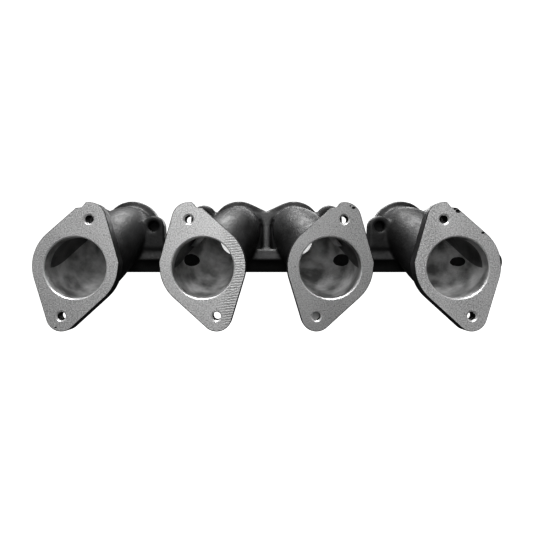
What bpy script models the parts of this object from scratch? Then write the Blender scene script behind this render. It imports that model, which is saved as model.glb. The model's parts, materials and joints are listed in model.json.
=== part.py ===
"""Four-port exhaust manifold: one head flange, four S-shaped runners and four two-bolt outlet flanges.

Units are metres.  +X runs along the row of ports, +Y points from the outlets to the engine, +Z is up.
The origin is on the machined head face, midway between the two centre ports, at their height.
"""

import math

import bmesh
import bpy
from mathutils import Matrix, Vector

MM = 0.001
GAP = 0.3 * MM          # clearance between two pieces that seat on each other
BENT_GAP = 0.6 * MM     # and between a bent runner and what is shaped to its side
REACH = 2 * MM          # how far a cutter runs past the face that it cuts

# ---- Overall layout
OVERALL_DEPTH = 94 * MM      # head face to outlet faces
OUTLET_PITCH = 104.5 * MM    # between neighbouring outlets
OUTLET_DROP = 38.5 * MM      # outlet centres below port centres
PORT_OUTER_X = 132 * MM      # centre of each end port
CENTRE_LAND = 22 * MM        # metal between the two centre ports

# ---- Gas passages
BORE_DIAMETER = 50.8 * MM
PORT_DIAMETER = 32 * MM
RUNNER_WALL = 3.5 * MM
SOCKET_DEPTH = 5 * MM        # a runner's end stands this deep in each flange
OUTLET_EASE = 0.46           # length of the curve's handle at the outlet, as a share of its run
PORT_EASE = 0.38             # and at the port, where it turns more sharply
TAPER_POWER = 2.4            # the passage stays wide and narrows late, close to the port

# ---- Outlet flanges
OUTLET_THICKNESS = 12.7 * MM
BOLT_SPACING = 82.5 * MM
BOLT_TILT = math.radians(16)
BOLT_HOLE_DIAMETER = 6.8 * MM
HOLE_CHAMFER = 1.0 * MM
BORE_CHAMFER = 0.6 * MM
OUTLET_LAND = 10 * MM        # flange metal around the bore
OUTLET_RISE = 1.4 * MM       # the round middle sits this far above the bore's centre
NOSE_LAND = 10.8 * MM        # metal around the upper bolt hole
FOOT_LAND = 9.3 * MM         # metal around the lower bolt hole
STEP_BACK = 2 * MM           # a small step beside the nose starts this far down the long edge
STEP_WIDTH = 4.8 * MM
STEP_RISE = 0.5 * MM
STEP_TOP_ANGLE = math.radians(101)   # where the step meets the round nose
SHOULDER_REACH = 0.6 * MM    # the corner on the steep side stands this far outside the round middle
SHOULDER_HEIGHT = 4.4 * MM
BLIND_HOLE_DEPTH = 9 * MM    # the lower hole of flange 3 has a floor

# ---- Head flange
HEAD_THICKNESS = 12 * MM
EAR_LAND = 10.4 * MM           # flange metal around each port
NOTCH_HEIGHT = 16.5 * MM     # bottom of the V between the centre ears
HEAD_BOTTOM = -42.7 * MM
HEAD_END_X = PORT_OUTER_X + 20 * MM
CORNER_RADIUS = 8 * MM

# ---- Ledge, pads, rib, stud bosses and bracket lugs on the head flange
PAD_TOP = -21.2 * MM
PAD_HEIGHT = 10.6 * MM
PAD_FRONT = -38 * MM
PAD_OUTER_X = PORT_OUTER_X - 8.5 * MM     # the long pads stop short of the end ports
PAD_INNER_X = PORT_OUTER_X - 76 * MM
CENTRE_PAD_WIDTH = 29 * MM
RAIL_FRONT = -29 * MM
TONGUE_HEIGHT = 4 * MM
TONGUE_DEPTH = 3 * MM
TONGUE_INSET = 8 * MM        # a tongue stops this far short of its piece's ends
RIB_WIDTH = 7 * MM
RIB_FRONT_FOOT = -32 * MM
RIB_FRONT_HEAD = -16 * MM
RIB_HEAD_DROP = 4 * MM       # the rib stops this far under the V
TENON_INSET = 6 * MM         # and its tenon this far short of the rib's ends
STUD_HOLE_DIAMETER = 10.2 * MM
STUD_BOSS_WALL = 6.9 * MM
LUG_WALL = 4.6 * MM
BOSS_DRAFT = 1.0 * MM        # a boss or lug is this much wider at its foot, on each side
SEAT_WALL = 5 * MM           # plate metal around an inner stud hole, hidden behind its boss
LOBE_WALL = 8.9 * MM         # and around an outer one, which has no boss
SPIGOT_WALL = 2 * MM
MOUTH_CHAMFER = 0.4 * MM     # broken edge around a stud hole or a lug's hole
INNER_STUD_OFFSET = 32.6 * MM    # from the centre port's centre, outwards
INNER_STUD_RISE = 8.6 * MM
STUD_BOSS_FRONT = -28 * MM
OUTER_STUD_OFFSET = 34 * MM      # from the end port's centre, outwards
OUTER_STUD_RISE = 7 * MM
LUG_OFFSET = 26.4 * MM           # from the end port's centre, inwards
LUG_FRONT = -37 * MM
LUG_LENGTH = 14 * MM
LUG_HOLE_DEPTH = 11 * MM

# ---- Collars around the runners' ends, and the plugged boss on runner 4
OUTLET_COLLAR_FLARE = 4.2 * MM
OUTLET_COLLAR_LENGTH = 7 * MM
PORT_COLLAR_FLARE = 2.6 * MM
PORT_COLLAR_LENGTH = 5 * MM
COLLAR_LIP = 1.3 * MM
COLLAR_KNEE = (0.35, 0.45)   # bend of its hollow outline: share of the flare, and of the length
COLLAR_OVERLAP = 4 * MM      # how far it reaches into the runner before the runner's room is cut out
SIDE_BOSS_DIAMETER = 14.5 * MM
SIDE_BOSS_REACH = 43.5 * MM    # from the outlet's centre to the boss's end
SIDE_BOSS_DEPTH = 9 * MM     # behind the outlet flange's back
SIDE_BOSS_RISE = 5 * MM
SIDE_BOSS_ROOT = 8 * MM      # how far it reaches into the runner before the runner's room is cut out
SIDE_BOSS_CHAMFER = 1.2 * MM
PLUG_DIAMETER = 8 * MM
PLUG_LENGTH = 7 * MM
PLUG_HEX = 4 * MM            # across the flats
PLUG_HEX_DEPTH = 3 * MM
PLUG_SUNK = 0.6 * MM
PLUG_CHAMFER = 0.5 * MM

# ---- Fineness of the round shapes
ROUND = 32
SMALL_ROUND = 20
RUNNER_STEPS = 8

# ---- Sizes worked out from the above
BORE_RADIUS = BORE_DIAMETER / 2
PORT_RADIUS = PORT_DIAMETER / 2
BOLT_HOLE_RADIUS = BOLT_HOLE_DIAMETER / 2
STUD_HOLE_RADIUS = STUD_HOLE_DIAMETER / 2
SEAT_RADIUS = STUD_HOLE_RADIUS + SEAT_WALL
LOBE_RADIUS = STUD_HOLE_RADIUS + LOBE_WALL
EAR_RADIUS = PORT_RADIUS + EAR_LAND
PORT_INNER_X = (PORT_DIAMETER + CENTRE_LAND) / 2
OUTLET_FRONT = -OVERALL_DEPTH
OUTLET_BACK = OUTLET_FRONT + OUTLET_THICKNESS
OUTLET_XS = [(i - 1.5) * OUTLET_PITCH for i in range(4)]
PORT_XS = [-PORT_OUTER_X, -PORT_INNER_X, PORT_INNER_X, PORT_OUTER_X]
PAD_BOTTOM = PAD_TOP - PAD_HEIGHT
RUNNER_START_RADIUS = BORE_RADIUS + RUNNER_WALL
RUNNER_END_RADIUS = PORT_RADIUS + RUNNER_WALL


# ---- Materials

def material(name, colour, roughness, metallic):
    """A Principled material for one kind of surface."""
    m = bpy.data.materials.new(name)
    m.use_nodes = True
    shader = m.node_tree.nodes["Principled BSDF"]
    shader.inputs["Base Color"].default_value = (*colour, 1)
    shader.inputs["Roughness"].default_value = roughness
    shader.inputs["Metallic"].default_value = metallic
    m.diffuse_color = (*colour, 1)
    return m


for old in list(bpy.data.objects):
    bpy.data.objects.remove(old, do_unlink=True)

CAST_BLACK = material("cast_black", (0.035, 0.035, 0.037), 0.5, 0.4)
MACHINED = material("machined_face", (0.42, 0.42, 0.43), 0.4, 0.9)
PLUG_STEEL = material("plug_steel", (0.12, 0.12, 0.13), 0.35, 0.9)


# ---- Mesh helpers

def add(name, mesh, surface=None):
    """Puts a mesh in the scene, facing outwards; without a surface it is a cutter."""
    bm = bmesh.new()
    bm.from_mesh(mesh)
    bmesh.ops.recalc_face_normals(bm, faces=bm.faces)
    bm.to_mesh(mesh)
    bm.free()
    ob = bpy.data.objects.new(name, mesh)
    bpy.context.scene.collection.objects.link(ob)
    if surface is None:
        ob.hide_render = True
        ob.display_type = "WIRE"
    else:
        mesh.materials.append(surface)
        mesh.shade_smooth()
        mesh.set_sharp_from_angle(angle=math.radians(30))
    return ob


def boolean(ob, other, operation, solver="EXACT"):
    """Cuts another solid out of ob, or joins it on; the other one is left out of the build."""
    step = ob.modifiers.new(other.name, "BOOLEAN")
    step.operation = operation
    step.solver = solver
    step.object = other
    other.hide_render = True
    other.display_type = "WIRE"


def cut(ob, *cutters, solver="EXACT"):
    for c in cutters:
        boolean(ob, c, "DIFFERENCE", solver)


def join(ob, *others):
    for o in others:
        boolean(ob, o, "UNION")


def prism(name, outline, y_front, y_back, surface=None):
    """A flat outline of (x, z) points, extruded from y_front to y_back."""
    bm = bmesh.new()
    face = bm.faces.new([bm.verts.new((x, y_front, z)) for x, z in outline])
    grown = bmesh.ops.extrude_face_region(bm, geom=[face])
    far = [g for g in grown["geom"] if isinstance(g, bmesh.types.BMVert)]
    bmesh.ops.translate(bm, verts=far, vec=(0, y_back - y_front, 0))
    mesh = bpy.data.meshes.new(name)
    bm.to_mesh(mesh)
    bm.free()
    return add(name, mesh, surface)


def block(name, x_range, y_range, z_range, surface=None):
    """A plain box between the given coordinates."""
    outline = [(x_range[i], z_range[j]) for i, j in ((0, 0), (1, 0), (1, 1), (0, 1))]
    return prism(name, outline, y_range[0], y_range[1], surface)


def turned(name, centre, profile, segments, axis="Y", ring=False, surface=None):
    """A profile of (radius, distance along the axis) points, turned about an axis through centre.

    With ring=True the profile is a closed loop that stays off the axis."""
    bm = bmesh.new()
    loops = []
    for radius, along in profile:
        loop = []
        for i in range(segments):
            a = 2 * math.pi * i / segments
            loop.append(bm.verts.new((radius * math.cos(a), along, radius * math.sin(a))))
        loops.append(loop)
    pairs = list(zip(loops, loops[1:]))
    if ring:
        pairs.append((loops[-1], loops[0]))
    else:
        bm.faces.new(loops[0])
        bm.faces.new(loops[-1])
    for a, b in pairs:
        for i in range(segments):
            j = (i + 1) % segments
            bm.faces.new((a[i], a[j], b[j], b[i]))
    if axis == "X":
        bmesh.ops.transform(bm, verts=bm.verts, matrix=Matrix.Rotation(-math.pi / 2, 4, "Z"))
    bmesh.ops.translate(bm, verts=bm.verts, vec=centre)
    mesh = bpy.data.meshes.new(name)
    bm.to_mesh(mesh)
    bm.free()
    return add(name, mesh, surface)


def arc(centre, radius, start, end, steps):
    """Points on a circle from one angle to another, counter-clockwise from +X, both ends included."""
    angles = [start + (end - start) * i / steps for i in range(steps + 1)]
    return [(centre[0] + radius * math.cos(a), centre[1] + radius * math.sin(a)) for a in angles]


def meet(c1, r1, c2, r2):
    """The upper point where two circles cross."""
    dx, dz = c2[0] - c1[0], c2[1] - c1[1]
    d = math.hypot(dx, dz)
    along = (d * d + r1 * r1 - r2 * r2) / (2 * d)
    off = math.sqrt(r1 * r1 - along * along)
    points = [(c1[0] + (along * dx - s * off * dz) / d, c1[1] + (along * dz + s * off * dx) / d)
              for s in (1, -1)]
    return max(points, key=lambda p: p[1])


def angle_of(point, centre):
    return math.atan2(point[1] - centre[1], point[0] - centre[0])


def tangent_angle(point, centre, radius, side):
    """Where a line from an outside point touches a circle, as an angle about its centre."""
    away = math.hypot(point[0] - centre[0], point[1] - centre[1])
    return angle_of(point, centre) + side * math.acos(radius / away)


# ---- Runners: a tube whose middle line is one smooth S from the outlet to the port

# Even steps, without the first and the last but one, whose rings would lean through the flanges.
RING_SHARES = [0] + [i / RUNNER_STEPS for i in range(2, RUNNER_STEPS - 1)] + [1]


def runner_path(number):
    """Middle points, directions and how far along each one is (0 to 1), from outlet to port."""
    start = Vector((OUTLET_XS[number], OUTLET_BACK, -OUTLET_DROP))
    end = Vector((PORT_XS[number], -HEAD_THICKNESS, 0))
    leave = start + Vector((0, (end.y - start.y) * OUTLET_EASE, 0))
    arrive = end - Vector((0, (end.y - start.y) * PORT_EASE, 0))
    straight = Vector((0, 1, 0))
    path = [(start - straight * (SOCKET_DEPTH - GAP), straight, 0)]
    for t in RING_SHARES:
        u = 1 - t
        middle = start * u ** 3 + leave * 3 * u * u * t + arrive * 3 * u * t * t + end * t ** 3
        heading = (leave - start) * u * u + (arrive - leave) * 2 * u * t + (end - arrive) * t * t
        path.append((middle, heading.normalized(), t))
    path.append((end + straight * (SOCKET_DEPTH - GAP), straight, 1))
    return path


def passage_radius(t):
    """The passage narrows from the outlet's bore to the port, most of it near the port."""
    return BORE_RADIUS + (PORT_RADIUS - BORE_RADIUS) * t ** TAPER_POWER


def tube_rings(bm, number, extra):
    """Rings of vertices around a runner's middle line, at the passage radius plus extra."""
    sideways = Vector((PORT_XS[number] - OUTLET_XS[number], 0, OUTLET_DROP)).normalized()
    across = Vector((0, 1, 0)).cross(sideways)
    rings = []
    for middle, heading, t in runner_path(number):
        upright = across.cross(heading)
        radius = passage_radius(t) + extra
        ring = []
        for i in range(ROUND):
            a = 2 * math.pi * i / ROUND
            ring.append(bm.verts.new(middle + radius * (math.cos(a) * upright + math.sin(a) * across)))
        rings.append(ring)
    return rings


def skin(bm, rings, closed):
    """Quads between neighbouring rings, and from the last one back to the first if closed."""
    pairs = list(zip(rings, rings[1:]))
    if closed:
        pairs.append((rings[-1], rings[0]))
    for a, b in pairs:
        for i in range(ROUND):
            j = (i + 1) % ROUND
            bm.faces.new((a[i], a[j], b[j], b[i]))


def runner(number):
    bm = bmesh.new()
    outside = tube_rings(bm, number, RUNNER_WALL)
    inside = tube_rings(bm, number, 0)
    skin(bm, outside + inside[::-1], closed=True)
    mesh = bpy.data.meshes.new(f"runner_{number + 1}")
    bm.to_mesh(mesh)
    bm.free()
    return add(f"runner_{number + 1}", mesh, CAST_BLACK)


def runner_room(number):
    """A solid cutter: the runner's outside plus the gap that its neighbours keep to it."""
    bm = bmesh.new()
    rings = tube_rings(bm, number, RUNNER_WALL + BENT_GAP)
    skin(bm, rings, closed=False)
    bm.faces.new(rings[0])
    bm.faces.new(rings[-1])
    mesh = bpy.data.meshes.new(f"runner_room_{number + 1}")
    bm.to_mesh(mesh)
    bm.free()
    return add(f"runner_room_{number + 1}", mesh)


for n in range(4):
    runner(n)
ROOMS = [runner_room(n) for n in range(4)]


# ---- Outlet flanges: a tilted oval with two bolt lobes, mirrored on every second outlet

def lean(number):
    """+1 where the upper bolt lobe leans to +X, -1 where it leans to -X."""
    return 1 if number % 2 == 0 else -1


def bolt_place(number, top):
    """An outlet bolt's (x, z)."""
    up = 1 if top else -1
    dx = lean(number) * up * math.sin(BOLT_TILT) * BOLT_SPACING / 2
    dz = up * math.cos(BOLT_TILT) * BOLT_SPACING / 2
    return OUTLET_XS[number] + dx, -OUTLET_DROP + dz


def tangent_normal(c1, r1, c2, r2, side):
    """Direction from each centre to the straight edge that touches both circles on one side."""
    return angle_of(c2, c1) + side * math.acos((r1 - r2) / math.dist(c1, c2))


def outlet_outline(number):
    """The outline for a lobe leaning to +X, counter-clockwise from its shoulder corner; then mirrored."""
    middle = (0, OUTLET_RISE)
    round_radius = BORE_RADIUS + OUTLET_LAND
    nose_radius = BOLT_HOLE_RADIUS + NOSE_LAND
    foot_radius = BOLT_HOLE_RADIUS + FOOT_LAND
    nose = (math.sin(BOLT_TILT) * BOLT_SPACING / 2, math.cos(BOLT_TILT) * BOLT_SPACING / 2)
    foot = (-nose[0], -nose[1])
    shoulder = (round_radius + SHOULDER_REACH, SHOULDER_HEIGHT)

    steep = tangent_angle(shoulder, nose, nose_radius, 1)
    long_edge = tangent_normal(middle, round_radius, nose, nose_radius, 1)
    foot_steep = tangent_normal(middle, round_radius, foot, foot_radius, -1)
    foot_long = tangent_normal(middle, round_radius, foot, foot_radius, 1)
    turn = 2 * math.pi

    # A small step beside the nose, on the long edge's side: nearly level, then up onto the round nose.
    corner = (nose[0] + nose_radius * math.cos(long_edge) - STEP_BACK * math.sin(long_edge),
              nose[1] + nose_radius * math.sin(long_edge) + STEP_BACK * math.cos(long_edge))
    inner = (corner[0] + STEP_WIDTH, corner[1] + STEP_RISE)

    points = [shoulder]
    points += arc(nose, nose_radius, steep, STEP_TOP_ANGLE, 7)
    points += [inner, corner]
    points += arc(middle, round_radius, long_edge, foot_steep % turn, 9)
    points += arc(foot, foot_radius, foot_steep % turn, foot_long % turn, 9)
    last = turn + tangent_angle(shoulder, middle, round_radius, -1)
    points += arc(middle, round_radius, foot_long % turn, last, 5)
    return [(OUTLET_XS[number] + lean(number) * x, z - OUTLET_DROP) for x, z in points]


def outlet_flange(number):
    name = f"outlet_flange_{number + 1}"
    plate = prism(name, outlet_outline(number), OUTLET_FRONT, OUTLET_BACK, MACHINED)
    socket_floor = OUTLET_BACK - SOCKET_DEPTH
    socket_radius = RUNNER_START_RADIUS + GAP
    bore = turned(f"bore_cutter_{number + 1}", (OUTLET_XS[number], 0, -OUTLET_DROP),
                  [(BORE_RADIUS + BORE_CHAMFER + REACH, OUTLET_FRONT - REACH),
                   (BORE_RADIUS, OUTLET_FRONT + BORE_CHAMFER),
                   (BORE_RADIUS, socket_floor),
                   (socket_radius, socket_floor),
                   (socket_radius, OUTLET_BACK + REACH)], ROUND)
    cut(plate, bore)
    for top in (True, False):
        x, z = bolt_place(number, top)
        blind = number == 2 and not top
        profile = [(BOLT_HOLE_RADIUS + HOLE_CHAMFER + REACH, OUTLET_FRONT - REACH),
                   (BOLT_HOLE_RADIUS, OUTLET_FRONT + HOLE_CHAMFER)]
        if blind:
            profile += [(BOLT_HOLE_RADIUS, OUTLET_FRONT + BLIND_HOLE_DEPTH)]
        else:
            profile += [(BOLT_HOLE_RADIUS, OUTLET_BACK - HOLE_CHAMFER),
                        (BOLT_HOLE_RADIUS + HOLE_CHAMFER + REACH, OUTLET_BACK + REACH)]
        hole = turned(f"bolt_cutter_{number + 1}_{'top' if top else 'low'}", (x, 0, z), profile,
                      SMALL_ROUND)
        cut(plate, hole)


for n in range(4):
    outlet_flange(n)


# ---- Collars: the thickened roots where a runner enters its flanges

def collar(name, number, centre, root, length, inner_radius, flare):
    """A cone around a runner's end, widest at the flange; the runner's room is cut out of it."""
    toward = 1 if length > 0 else -1
    wide = inner_radius + flare
    lip = inner_radius + COLLAR_LIP
    hollow = inner_radius - COLLAR_OVERLAP
    knee = (lip + (wide - lip) * COLLAR_KNEE[0], root + length * COLLAR_KNEE[1])
    ring = turned(name, (centre[0], 0, centre[1]),
                  [(wide, root + toward * GAP), knee, (lip, root + length), (hollow, root + length),
                   (hollow, root + toward * GAP)], ROUND, ring=True, surface=CAST_BLACK)
    cut(ring, ROOMS[number])


for n in range(4):
    collar(f"outlet_collar_{n + 1}", n, (OUTLET_XS[n], -OUTLET_DROP), OUTLET_BACK,
           OUTLET_COLLAR_LENGTH, RUNNER_START_RADIUS, OUTLET_COLLAR_FLARE)
    collar(f"port_collar_{n + 1}", n, (PORT_XS[n], 0), -HEAD_THICKNESS,
           -PORT_COLLAR_LENGTH, RUNNER_END_RADIUS, PORT_COLLAR_FLARE)


def collar_room(number):
    """A cutter that keeps other pieces off a port collar."""
    radius = RUNNER_END_RADIUS + PORT_COLLAR_FLARE + GAP
    return turned(f"collar_room_{number + 1}", (PORT_XS[number], 0, 0),
                  [(radius, -HEAD_THICKNESS - PORT_COLLAR_LENGTH - GAP), (radius, -HEAD_THICKNESS + REACH)],
                  ROUND)


COLLAR_ROOMS = [collar_room(n) for n in range(4)]


# ---- Stud bosses beside the centre ports, and bracket lugs beside the end runners

SIDES = {"left": -1, "right": 1}
INNER_STUD = (PORT_INNER_X + INNER_STUD_OFFSET, INNER_STUD_RISE)
OUTER_STUD = (PORT_OUTER_X + OUTER_STUD_OFFSET, OUTER_STUD_RISE)
LUG = (PORT_OUTER_X - LUG_OFFSET, 0)


def arched(name, place, wall, front, back):
    """A block with a round head over a hole, and sides that widen slightly towards the foot."""
    x, z = place
    foot = PAD_TOP + GAP
    radius = STUD_HOLE_RADIUS + wall
    points = arc((x, z), radius, 0, math.pi, 14)
    points += [(x - radius - BOSS_DRAFT, foot), (x + radius + BOSS_DRAFT, foot)]
    return prism(name, points, front, back, CAST_BLACK)


def stud_hole(name, place, front, depth_end):
    """A cutter for a stud's hole, with a broken edge at its mouth."""
    return turned(name, (place[0], 0, place[1]),
                  [(STUD_HOLE_RADIUS + MOUTH_CHAMFER + REACH, front - REACH),
                   (STUD_HOLE_RADIUS, front + MOUTH_CHAMFER), (STUD_HOLE_RADIUS, depth_end)], SMALL_ROUND)


def stud_boss(side_name):
    """A long boss that carries a stud through the flange; its spigot sits in the plate."""
    side = SIDES[side_name]
    place = (side * INNER_STUD[0], INNER_STUD[1])
    port = 1 if side < 0 else 2
    body = arched(f"stud_boss_{side_name}", place, STUD_BOSS_WALL, STUD_BOSS_FRONT, -HEAD_THICKNESS - GAP)
    spigot_radius = STUD_HOLE_RADIUS + SPIGOT_WALL
    spigot = turned(f"stud_spigot_{side_name}", (place[0], 0, place[1]),
                    [(spigot_radius, -HEAD_THICKNESS - GAP - REACH),
                     (spigot_radius, -HEAD_THICKNESS + TONGUE_DEPTH)], SMALL_ROUND)
    seat = turned(f"stud_seat_{side_name}", (place[0], 0, place[1]),
                  [(spigot_radius + GAP, -HEAD_THICKNESS - REACH),
                   (spigot_radius + GAP, -HEAD_THICKNESS + TONGUE_DEPTH + GAP)], SMALL_ROUND)
    hole = stud_hole(f"stud_hole_{side_name}", place, STUD_BOSS_FRONT, REACH)
    join(body, spigot)
    cut(body, ROOMS[port], COLLAR_ROOMS[port], hole)
    return [seat, hole]


def bracket_lug(side_name):
    """A lug with a blind threaded hole, standing on the pad against the end runner's flank."""
    side = SIDES[side_name]
    place = (side * LUG[0], LUG[1])
    port = 0 if side < 0 else 3
    body = arched(f"bracket_lug_{side_name}", place, LUG_WALL, LUG_FRONT, LUG_FRONT + LUG_LENGTH)
    hole = stud_hole(f"lug_hole_{side_name}", place, LUG_FRONT, LUG_FRONT + LUG_HOLE_DEPTH)
    cut(body, ROOMS[port], hole)


HEAD_CUTS = []
for side_name, side in SIDES.items():
    HEAD_CUTS += stud_boss(side_name)
    bracket_lug(side_name)
    HEAD_CUTS.append(stud_hole(f"outer_stud_hole_{side_name}", (side * OUTER_STUD[0], OUTER_STUD[1]),
                               -HEAD_THICKNESS, REACH))


# ---- Rail, pads and rib along the lower front of the head flange, each with a tongue in the plate

def tongue_pair(name, x_range, z_middle):
    """The tongue on a piece's back, and the groove for it in the head flange."""
    half = TONGUE_HEIGHT / 2
    ends = (x_range[0] + TONGUE_INSET, x_range[1] - TONGUE_INSET)
    tongue = block(f"{name}_tongue", ends, (-HEAD_THICKNESS - GAP - REACH, -HEAD_THICKNESS + TONGUE_DEPTH),
                   (z_middle - half, z_middle + half))
    groove = block(f"{name}_groove", (ends[0] - GAP, ends[1] + GAP),
                   (-HEAD_THICKNESS - REACH, -HEAD_THICKNESS + TONGUE_DEPTH + GAP),
                   (z_middle - half - GAP, z_middle + half + GAP))
    return tongue, groove


def ledge(name, x_range, front, z_range, rooms):
    """A bar across the flange's front, cut clear of the runners that pass over it."""
    bar = block(name, x_range, (front, -HEAD_THICKNESS - GAP), z_range, CAST_BLACK)
    tongue, groove = tongue_pair(name, x_range, sum(z_range) / 2)
    join(bar, tongue)
    # The runners only graze some of these bars, which the exact solver leaves open.
    cut(bar, *[ROOMS[n] for n in rooms], *[COLLAR_ROOMS[n] for n in rooms], solver="MANIFOLD")
    return groove


PAD_Z = (PAD_BOTTOM, PAD_TOP)
RAIL_END_X = HEAD_END_X - CORNER_RADIUS
GROOVES = [
    ledge("pad_left", (-PAD_OUTER_X, -PAD_INNER_X), PAD_FRONT, PAD_Z, (0, 1)),
    ledge("pad_centre", (-CENTRE_PAD_WIDTH / 2, CENTRE_PAD_WIDTH / 2), PAD_FRONT, PAD_Z, (1, 2)),
    ledge("pad_right", (PAD_INNER_X, PAD_OUTER_X), PAD_FRONT, PAD_Z, (2, 3)),
    ledge("lower_rail", (-RAIL_END_X, RAIL_END_X), RAIL_FRONT,
          (HEAD_BOTTOM, PAD_BOTTOM - GAP), (0, 1, 2, 3)),
]


def centre_rib():
    """The web between the centre ports: deep at its foot, shallow under the V."""
    foot, head = PAD_TOP + GAP, NOTCH_HEIGHT - RIB_HEAD_DROP
    bm = bmesh.new()
    side = [(-HEAD_THICKNESS - GAP, foot), (RIB_FRONT_FOOT, foot), (RIB_FRONT_HEAD, head),
            (-HEAD_THICKNESS - GAP, head)]
    near = [bm.verts.new((-RIB_WIDTH / 2, y, z)) for y, z in side]
    far = [bm.verts.new((RIB_WIDTH / 2, y, z)) for y, z in side]
    bm.faces.new(near)
    bm.faces.new(far[::-1])
    for i in range(4):
        j = (i + 1) % 4
        bm.faces.new((near[i], near[j], far[j], far[i]))
    mesh = bpy.data.meshes.new("centre_rib")
    bm.to_mesh(mesh)
    bm.free()
    rib = add("centre_rib", mesh, CAST_BLACK)
    tenon_half = RIB_WIDTH / 4
    tenon_z = (foot + TENON_INSET, head - TENON_INSET)
    tenon = block("rib_tenon", (-tenon_half, tenon_half),
                  (-HEAD_THICKNESS - GAP - REACH, -HEAD_THICKNESS + TONGUE_DEPTH), tenon_z)
    mortise = block("rib_mortise", (-tenon_half - GAP, tenon_half + GAP),
                    (-HEAD_THICKNESS - REACH, -HEAD_THICKNESS + TONGUE_DEPTH + GAP),
                    (tenon_z[0] - GAP, tenon_z[1] + GAP))
    join(rib, tenon)
    cut(rib, ROOMS[1], ROOMS[2], COLLAR_ROOMS[1], COLLAR_ROOMS[2])
    return mortise


GROOVES.append(centre_rib())


# ---- Head flange

def head_outline():
    """The right half from the V outwards and down, then its mirror image.

    An ear over each port, a small lobe at each stud, and a straight foot."""
    ear_in, ear_out = (PORT_INNER_X, 0), (PORT_OUTER_X, 0)
    notch = (0, NOTCH_HEIGHT)
    cross_in = meet(ear_in, EAR_RADIUS, INNER_STUD, SEAT_RADIUS)
    cross_out = meet(ear_out, EAR_RADIUS, OUTER_STUD, LOBE_RADIUS)
    first = tangent_angle(notch, ear_in, EAR_RADIUS, -1) % (2 * math.pi)
    dip = PAD_TOP + GAP
    half = arc(ear_in, EAR_RADIUS, first, angle_of(cross_in, ear_in), 10)
    half += arc(INNER_STUD, SEAT_RADIUS, angle_of(cross_in, INNER_STUD), 0, 6)[1:]
    half += [(INNER_STUD[0] + SEAT_RADIUS, dip), (PORT_OUTER_X - EAR_RADIUS, dip)]
    half += arc(ear_out, EAR_RADIUS, math.pi, angle_of(cross_out, ear_out), 12)
    half += arc(OUTER_STUD, LOBE_RADIUS, angle_of(cross_out, OUTER_STUD), -math.pi / 4, 9)[1:]
    foot_centre = (HEAD_END_X - CORNER_RADIUS, HEAD_BOTTOM + CORNER_RADIUS)
    half += arc(foot_centre, CORNER_RADIUS, 0, -math.pi / 2, 6)
    return [notch] + half + [(-x, z) for x, z in reversed(half)]


head = prism("head_flange", head_outline(), -HEAD_THICKNESS, 0, CAST_BLACK)
for n in range(4):
    port_hole = turned(f"port_cutter_{n + 1}", (PORT_XS[n], 0, 0),
                       [(RUNNER_END_RADIUS + GAP, -HEAD_THICKNESS - REACH),
                        (RUNNER_END_RADIUS + GAP, -HEAD_THICKNESS + SOCKET_DEPTH),
                        (PORT_RADIUS, -HEAD_THICKNESS + SOCKET_DEPTH),
                        (PORT_RADIUS, REACH)], ROUND)
    cut(head, port_hole)
cut(head, *HEAD_CUTS, *GROOVES)
# A fat runner may still lean a little where it reaches the flange, so its room is kept clear there.
cut(head, *ROOMS, solver="MANIFOLD")


# ---- Side boss on runner 4, closed by a screwed plug

boss_centre = (0, OUTLET_BACK + SIDE_BOSS_DEPTH, SIDE_BOSS_RISE - OUTLET_DROP)
boss_end = OUTLET_XS[3] + SIDE_BOSS_REACH
boss_root = OUTLET_XS[3] + RUNNER_START_RADIUS - SIDE_BOSS_ROOT
boss_radius = SIDE_BOSS_DIAMETER / 2
side_boss = turned("side_boss", boss_centre,
                   [(boss_radius, boss_root), (boss_radius, boss_end - SIDE_BOSS_CHAMFER),
                    (boss_radius - SIDE_BOSS_CHAMFER, boss_end)], ROUND, axis="X", surface=CAST_BLACK)
plug_radius = PLUG_DIAMETER / 2
plug_end = boss_end - PLUG_SUNK
plug_room = turned("plug_room", boss_centre,
                   [(plug_radius + GAP, plug_end - PLUG_LENGTH - GAP), (plug_radius + GAP, boss_end + REACH)],
                   SMALL_ROUND, axis="X")
collar_radius = RUNNER_START_RADIUS + OUTLET_COLLAR_FLARE + GAP
collar_clear = turned("outlet_collar_room", (OUTLET_XS[3], 0, -OUTLET_DROP),
                      [(collar_radius, OUTLET_BACK - REACH),
                       (collar_radius, OUTLET_BACK + OUTLET_COLLAR_LENGTH + GAP)], ROUND)
cut(side_boss, ROOMS[3], collar_clear, plug_room)

plug = turned("boss_plug", boss_centre,
              [(plug_radius, plug_end - PLUG_LENGTH), (plug_radius, plug_end - PLUG_CHAMFER),
               (plug_radius - PLUG_CHAMFER, plug_end)], SMALL_ROUND, axis="X", surface=PLUG_STEEL)
hexagon = turned("hex_cutter", boss_centre,
                 [(PLUG_HEX / math.sqrt(3), plug_end - PLUG_HEX_DEPTH),
                  (PLUG_HEX / math.sqrt(3), boss_end + REACH)], 6, axis="X")
cut(plug, hexagon)
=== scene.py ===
# %% [markdown]
# # A four-port exhaust manifold
# A manifold like this starts as one iron casting: four bent pipes between a long head flange and four
# outlets.  The outlets are then milled flat and bored.  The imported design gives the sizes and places;
# this lesson gives it the soft edges of a casting, the crisp edges of a milled face, and their finishes.

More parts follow.
